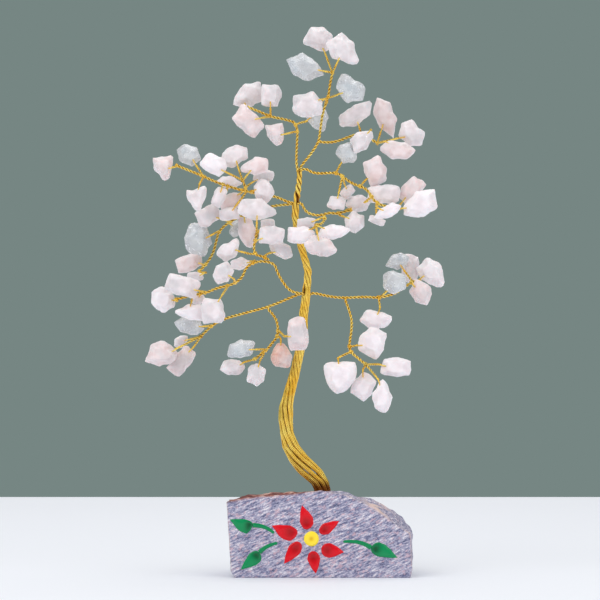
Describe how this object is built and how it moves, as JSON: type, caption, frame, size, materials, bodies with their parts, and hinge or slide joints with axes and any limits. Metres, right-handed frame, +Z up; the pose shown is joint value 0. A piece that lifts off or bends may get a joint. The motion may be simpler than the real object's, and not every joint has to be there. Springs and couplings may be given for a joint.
{
  "type": "gemstone tree ornament",
  "caption": "Free-standing ornament: a twisted gold wire tree with drilled quartz chips on wire loops, some swinging, set in a stone block with a painted flower.",
  "frame": {"origin": "centre of the stone block's flat underside, on the table", "axes": "+Z up along the trunk, -Y towards the sawn front face with the painted flower, +X to the viewer's right"},
  "size_m": [0.1094, 0.0435, 0.199],
  "materials": {
    "brass_wire": "bright gold-coloured craft wire",
    "rose_quartz": "tumbled and polished, milky and partly clear",
    "peach_quartz": "tumbled and polished, peach-coloured",
    "base_stone": "sawn and polished front, rough broken top and sides",
    "red_enamel": "thick glossy enamel paint",
    "yellow_enamel": "thick glossy enamel paint",
    "green_enamel": "thick glossy enamel paint",
    "clear_epoxy": "set clear glue, glossy"
  },
  "bodies": {
    "tree": {"arch_chips": "rose_quartz", "arch_up_chips": "rose_quartz", "arch_up_wires": "brass_wire", "arch_wires": "brass_wire", "crown_chips": "rose_quartz", "crown_left_chips": "rose_quartz", "crown_left_wires": "brass_wire", "crown_right_chips": "rose_quartz", "crown_right_wires": "brass_wire", "crown_wires": "brass_wire", "epoxy_fill": "clear_epoxy", "flower_centre_paint": "yellow_enamel", "front_chips": "rose_quartz", "front_wires": "brass_wire", "leaf_paint": "green_enamel", "left_hub_chips": "rose_quartz", "left_hub_wires": "brass_wire", "low_left_chips": "rose_quartz", "low_left_hanging_chips": "rose_quartz", "low_left_hanging_wires": "brass_wire", "low_left_wires": "brass_wire", "low_right_chips": "rose_quartz", "low_right_hanging_chips": "rose_quartz", "low_right_hanging_wires": "brass_wire", "low_right_wires": "brass_wire", "mid_left_chips": "rose_quartz", "mid_left_wires": "brass_wire", "mid_right_chips": "rose_quartz", "mid_right_wires": "brass_wire", "petal_paint": "red_enamel", "right_upper_chips": "rose_quartz", "right_upper_wires": "brass_wire", "stone_base": "base_stone", "trunk_wires": "brass_wire", "upper_left_chips": "rose_quartz", "upper_left_wires": "brass_wire"},
    "pendant_heart": {"pendant_heart": "rose_quartz"},
    "pendant_left_high": {"pendant_left_high": "rose_quartz"},
    "pendant_left_low": {"pendant_left_low": "rose_quartz"},
    "pendant_peach": {"pendant_peach": "peach_quartz"},
    "pendant_right_lowest": {"pendant_right_lowest": "rose_quartz"},
    "pendant_right_middle": {"pendant_right_middle": "rose_quartz"},
    "pendant_right_upper": {"pendant_right_upper": "rose_quartz"}
  },
  "joints": [
    {"name": "pendant_heart_swing", "type": "hinge", "parent": "tree", "child": "pendant_heart", "pos_m": [0.00668, -0.0085, 0.07518], "axis": [0, -1, 0], "range_deg": [-12, 12]},
    {"name": "pendant_left_high_swing", "type": "hinge", "parent": "tree", "child": "pendant_left_high", "pos_m": [-0.0441, -0.0085, 0.13775], "axis": [0, -1, 0], "range_deg": [-12, 12]},
    {"name": "pendant_left_low_swing", "type": "hinge", "parent": "tree", "child": "pendant_left_low", "pos_m": [-0.02246, -0.01, 0.07453], "axis": [0, -1, 0], "range_deg": [-12, 12]},
    {"name": "pendant_peach_swing", "type": "hinge", "parent": "tree", "child": "pendant_peach", "pos_m": [-0.01409, -0.0055, 0.08207], "axis": [0, -1, 0], "range_deg": [-12, 12]},
    {"name": "pendant_right_lowest_swing", "type": "hinge", "parent": "tree", "child": "pendant_right_lowest", "pos_m": [0.02181, -0.011, 0.06756], "axis": [0, -1, 0], "range_deg": [-12, 12]},
    {"name": "pendant_right_middle_swing", "type": "hinge", "parent": "tree", "child": "pendant_right_middle", "pos_m": [0.0155, -0.0055, 0.07113], "axis": [0, -1, 0], "range_deg": [-12, 12]},
    {"name": "pendant_right_upper_swing", "type": "hinge", "parent": "tree", "child": "pendant_right_upper", "pos_m": [0.02072, 0.0055, 0.09353], "axis": [0, -1, 0], "range_deg": [-12, 12]}
  ]
}
